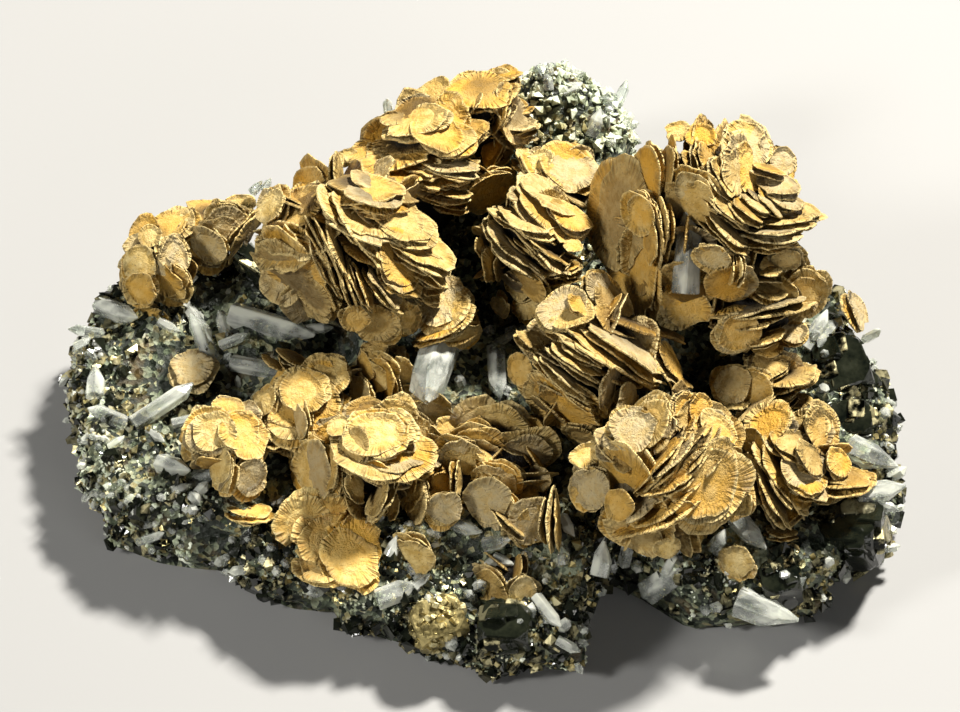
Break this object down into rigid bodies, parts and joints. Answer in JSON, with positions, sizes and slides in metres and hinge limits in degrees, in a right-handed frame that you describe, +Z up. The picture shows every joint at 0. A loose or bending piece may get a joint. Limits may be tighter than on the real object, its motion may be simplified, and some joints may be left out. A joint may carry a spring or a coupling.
{
  "type": "siderite mineral specimen",
  "caption": "Siderite specimen: rosettes of tan lens-shaped crystals with quartz prisms and dark sulphide crystals on a granular matrix.",
  "frame": {"origin": "on the flat base, near the middle of the specimen's footprint", "axes": "+X to the right along the longest side, +Y toward the back, +Z up"},
  "size_m": [0.1174, 0.0942, 0.0476],
  "materials": {
    "siderite": "matte tan to ochre lens-shaped crystals with fine ribs and brown specks",
    "siderite_golden": "golden, slightly translucent crystal fans",
    "quartz": "clear to milky six-sided crystals",
    "sphalerite": "near-black crystals with a greasy shine",
    "pyrite": "granular brassy crystals",
    "matrix": "granular grey-green rock with pyrite and quartz grains"
  },
  "bodies": {
    "root": {"matrix": "matrix", "pyrite_front": "pyrite", "quartz_01": "quartz", "quartz_02": "quartz", "quartz_03": "quartz", "quartz_04": "quartz", "quartz_05": "quartz", "quartz_06": "quartz", "quartz_07": "quartz", "quartz_08": "quartz", "quartz_09": "quartz", "quartz_10": "quartz", "quartz_11": "quartz", "quartz_12": "quartz", "quartz_13": "quartz", "quartz_14": "quartz", "quartz_15": "quartz", "quartz_16": "quartz", "quartz_17": "quartz", "quartz_18": "quartz", "quartz_19": "quartz", "quartz_20": "quartz", "quartz_21": "quartz", "quartz_22": "quartz", "quartz_23": "quartz", "quartz_24": "quartz", "quartz_25": "quartz", "siderite_cluster_far_left": "siderite", "siderite_cluster_far_right": "siderite", "siderite_cluster_front_centre": "siderite", "siderite_cluster_front_edge": "siderite", "siderite_cluster_inner_left": "siderite", "siderite_cluster_left_fan": "siderite", "siderite_cluster_outer_left": "siderite", "siderite_cluster_right_upper": "siderite", "siderite_disc_01": "siderite", "siderite_disc_02": "siderite", "siderite_disc_03": "siderite", "siderite_disc_04": "siderite", "siderite_disc_05": "siderite", "siderite_golden_shell": "siderite_golden", "siderite_rosette_centre": "siderite", "siderite_rosette_front_left": "siderite", "siderite_rosette_front_right": "siderite", "siderite_rosette_left": "siderite", "siderite_rosette_middle": "siderite", "siderite_rosette_right": "siderite", "siderite_rosettes_back": "siderite", "sphalerite_blade_left": "sphalerite", "sphalerite_front": "sphalerite", "sphalerite_front_right": "sphalerite", "sphalerite_right": "sphalerite", "sphalerite_right_lower": "sphalerite", "sphalerite_right_upper": "sphalerite"}
  },
  "joints": []
}
